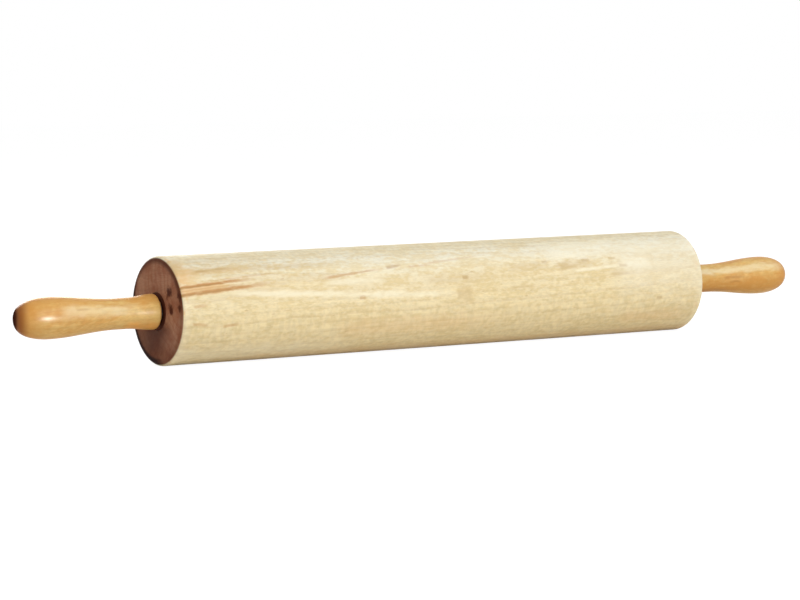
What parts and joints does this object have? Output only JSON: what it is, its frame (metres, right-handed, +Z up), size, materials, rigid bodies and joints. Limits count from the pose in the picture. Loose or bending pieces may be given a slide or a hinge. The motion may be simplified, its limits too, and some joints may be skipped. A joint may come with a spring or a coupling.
{
  "type": "rolling pin",
  "caption": "Rolling pin with a heavy wooden barrel that spins on ball bearings around a steel axle, and a turned, lacquered wooden handle pinned on each end of it.",
  "frame": {"origin": "centre of the barrel, on the axle's centre line", "axes": "+X along the axle towards the right handle, +Z up, square to the table that the pin lies on"},
  "size_m": [0.6648, 0.0758, 0.0758],
  "materials": {
    "barrel_maple": "bare, finely sanded maple with a light oil",
    "handle_maple": "clear amber lacquer, glossy",
    "axle_steel": "drawn bar, turned ends",
    "spacer_steel": "turned",
    "pin_steel": "drawn wire",
    "bearing_steel": "ground and polished",
    "cage_steel": "pressed strip",
    "cap_nylon": "dark moulded nylon"
  },
  "bodies": {
    "handle_axle": {"axle_rod": "axle_steel", "left_handle": "handle_maple", "left_handle_pin": "pin_steel", "left_spacer_bush": "spacer_steel", "left_bearing_inner_ring": "bearing_steel", "right_handle": "handle_maple", "right_handle_pin": "pin_steel", "right_spacer_bush": "spacer_steel", "right_bearing_inner_ring": "bearing_steel"},
    "barrel": {"barrel": "barrel_maple", "left_bearing_outer_ring": "bearing_steel", "left_dust_cap": "cap_nylon", "right_bearing_outer_ring": "bearing_steel", "right_dust_cap": "cap_nylon"},
    "left_ball_cage": {"left_ball_cage": "cage_steel"},
    "left_ball_1": {"left_ball_1": "bearing_steel"},
    "left_ball_2": {"left_ball_2": "bearing_steel"},
    "left_ball_3": {"left_ball_3": "bearing_steel"},
    "left_ball_4": {"left_ball_4": "bearing_steel"},
    "left_ball_5": {"left_ball_5": "bearing_steel"},
    "left_ball_6": {"left_ball_6": "bearing_steel"},
    "left_ball_7": {"left_ball_7": "bearing_steel"},
    "right_ball_cage": {"right_ball_cage": "cage_steel"},
    "right_ball_1": {"right_ball_1": "bearing_steel"},
    "right_ball_2": {"right_ball_2": "bearing_steel"},
    "right_ball_3": {"right_ball_3": "bearing_steel"},
    "right_ball_4": {"right_ball_4": "bearing_steel"},
    "right_ball_5": {"right_ball_5": "bearing_steel"},
    "right_ball_6": {"right_ball_6": "bearing_steel"},
    "right_ball_7": {"right_ball_7": "bearing_steel"}
  },
  "joints": [
    {"name": "barrel_spin", "type": "hinge", "parent": "handle_axle", "child": "barrel", "pos_m": [0, 0, 0], "axis": [1, 0, 0], "continuous": true},
    {"name": "left_cage_orbit", "type": "hinge", "parent": "handle_axle", "child": "left_ball_cage", "pos_m": [-0.21835, 0, 0], "axis": [1, 0, 0], "continuous": true},
    {"name": "left_ball_1_roll", "type": "hinge", "parent": "left_ball_cage", "child": "left_ball_1", "pos_m": [-0.21835, -0.009, 0], "axis": [1, 0, 0], "continuous": true},
    {"name": "left_ball_2_roll", "type": "hinge", "parent": "left_ball_cage", "child": "left_ball_2", "pos_m": [-0.21835, -0.00561, 0.00704], "axis": [1, 0, 0], "continuous": true},
    {"name": "left_ball_3_roll", "type": "hinge", "parent": "left_ball_cage", "child": "left_ball_3", "pos_m": [-0.21835, 0.002, 0.00877], "axis": [1, 0, 0], "continuous": true},
    {"name": "left_ball_4_roll", "type": "hinge", "parent": "left_ball_cage", "child": "left_ball_4", "pos_m": [-0.21835, 0.00811, 0.0039], "axis": [1, 0, 0], "continuous": true},
    {"name": "left_ball_5_roll", "type": "hinge", "parent": "left_ball_cage", "child": "left_ball_5", "pos_m": [-0.21835, 0.00811, -0.0039], "axis": [1, 0, 0], "continuous": true},
    {"name": "left_ball_6_roll", "type": "hinge", "parent": "left_ball_cage", "child": "left_ball_6", "pos_m": [-0.21835, 0.002, -0.00877], "axis": [1, 0, 0], "continuous": true},
    {"name": "left_ball_7_roll", "type": "hinge", "parent": "left_ball_cage", "child": "left_ball_7", "pos_m": [-0.21835, -0.00561, -0.00704], "axis": [1, 0, 0], "continuous": true},
    {"name": "right_cage_orbit", "type": "hinge", "parent": "handle_axle", "child": "right_ball_cage", "pos_m": [0.21835, 0, 0], "axis": [1, 0, 0], "continuous": true},
    {"name": "right_ball_1_roll", "type": "hinge", "parent": "right_ball_cage", "child": "right_ball_1", "pos_m": [0.21835, 0.009, 0], "axis": [1, 0, 0], "continuous": true},
    {"name": "right_ball_2_roll", "type": "hinge", "parent": "right_ball_cage", "child": "right_ball_2", "pos_m": [0.21835, 0.00561, 0.00704], "axis": [1, 0, 0], "continuous": true},
    {"name": "right_ball_3_roll", "type": "hinge", "parent": "right_ball_cage", "child": "right_ball_3", "pos_m": [0.21835, -0.002, 0.00877], "axis": [1, 0, 0], "continuous": true},
    {"name": "right_ball_4_roll", "type": "hinge", "parent": "right_ball_cage", "child": "right_ball_4", "pos_m": [0.21835, -0.00811, 0.0039], "axis": [1, 0, 0], "continuous": true},
    {"name": "right_ball_5_roll", "type": "hinge", "parent": "right_ball_cage", "child": "right_ball_5", "pos_m": [0.21835, -0.00811, -0.0039], "axis": [1, 0, 0], "continuous": true},
    {"name": "right_ball_6_roll", "type": "hinge", "parent": "right_ball_cage", "child": "right_ball_6", "pos_m": [0.21835, -0.002, -0.00877], "axis": [1, 0, 0], "continuous": true},
    {"name": "right_ball_7_roll", "type": "hinge", "parent": "right_ball_cage", "child": "right_ball_7", "pos_m": [0.21835, 0.00561, -0.00704], "axis": [1, 0, 0], "continuous": true}
  ],
  "couplings": [
    {"joint": "left_cage_orbit", "follows": "barrel_spin", "ratio": 0.63222},
    {"joint": "left_ball_1_roll", "follows": "barrel_spin", "ratio": 1.7585},
    {"joint": "left_ball_2_roll", "follows": "barrel_spin", "ratio": 1.7585},
    {"joint": "left_ball_3_roll", "follows": "barrel_spin", "ratio": 1.7585},
    {"joint": "left_ball_4_roll", "follows": "barrel_spin", "ratio": 1.7585},
    {"joint": "left_ball_5_roll", "follows": "barrel_spin", "ratio": 1.7585},
    {"joint": "left_ball_6_roll", "follows": "barrel_spin", "ratio": 1.7585},
    {"joint": "left_ball_7_roll", "follows": "barrel_spin", "ratio": 1.7585},
    {"joint": "right_cage_orbit", "follows": "barrel_spin", "ratio": 0.63222},
    {"joint": "right_ball_1_roll", "follows": "barrel_spin", "ratio": 1.7585},
    {"joint": "right_ball_2_roll", "follows": "barrel_spin", "ratio": 1.7585},
    {"joint": "right_ball_3_roll", "follows": "barrel_spin", "ratio": 1.7585},
    {"joint": "right_ball_4_roll", "follows": "barrel_spin", "ratio": 1.7585},
    {"joint": "right_ball_5_roll", "follows": "barrel_spin", "ratio": 1.7585},
    {"joint": "right_ball_6_roll", "follows": "barrel_spin", "ratio": 1.7585},
    {"joint": "right_ball_7_roll", "follows": "barrel_spin", "ratio": 1.7585}
  ]
}
